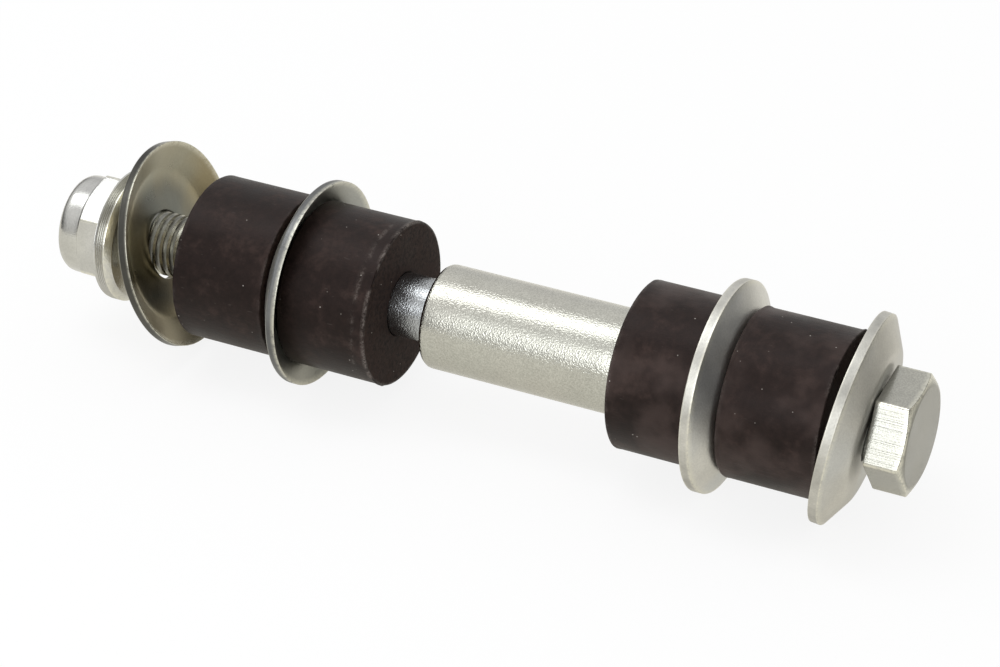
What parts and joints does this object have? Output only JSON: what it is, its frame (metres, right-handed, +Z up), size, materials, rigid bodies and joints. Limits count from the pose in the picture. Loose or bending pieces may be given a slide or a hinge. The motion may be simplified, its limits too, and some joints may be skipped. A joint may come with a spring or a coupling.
{
  "type": "stabilizer link",
  "caption": "Stabilizer link: a long hex bolt with rubber bushings, cupped washers and a spacer tube, closed by a flanged lock nut.",
  "frame": {"origin": "on the bolt's axis, half way between the top of the head and the outer end of the nut", "axes": "+X along the bolt towards its head, +Z up, +Y completes a right-handed frame"},
  "size_m": [0.1424, 0.0328, 0.0326],
  "materials": {
    "bolt_steel": "zinc-plated, satin",
    "zinc_plate": "zinc-plated, satin",
    "yellow_zinc": "zinc with a yellow passivation, satin",
    "rubber": "matt moulded rubber",
    "nylon": "natural nylon"
  },
  "bodies": {
    "bolt": {"hex_bolt": "bolt_steel", "head_side_inner_bushing": "rubber", "head_side_inner_washer": "zinc_plate", "head_side_outer_bushing": "rubber"},
    "nut_washer": {"nut_side_outer_washer": "yellow_zinc"},
    "nut": {"lock_nut": "zinc_plate", "nylon_insert": "nylon"},
    "nut_side_pack": {"nut_side_outer_bushing": "rubber", "nut_side_inner_washer": "zinc_plate", "nut_side_inner_bushing": "rubber"},
    "spacer": {"spacer_tube": "zinc_plate"},
    "head_washer": {"head_side_outer_washer": "zinc_plate"}
  },
  "joints": [
    {"name": "nut_travel", "type": "slide", "parent": "bolt", "child": "nut_washer", "axis": [1, 0, 0], "range_m": [-0.0095, 0.0017]},
    {"name": "nut_turn", "type": "hinge", "parent": "nut_washer", "child": "nut", "pos_m": [-0.0597, 0, 0], "axis": [1, 0, 0], "range_deg": [-2735, 489]},
    {"name": "pack_slide", "type": "slide", "parent": "bolt", "child": "nut_side_pack", "axis": [1, 0, 0], "range_m": [0, 0.0064]},
    {"name": "spacer_spin", "type": "hinge", "parent": "bolt", "child": "spacer", "pos_m": [0, 0, -0.00035], "axis": [1, 0, 0], "continuous": true},
    {"name": "head_washer_rock", "type": "hinge", "parent": "bolt", "child": "head_washer", "pos_m": [0.0652, -0.00232, 0.00713], "axis": [0, -0.9511, -0.309], "range_deg": [0, 8.4]}
  ],
  "couplings": [
    {"joint": "nut_travel", "follows": "nut_turn", "m_per_rad": 0.00019894}
  ]
}
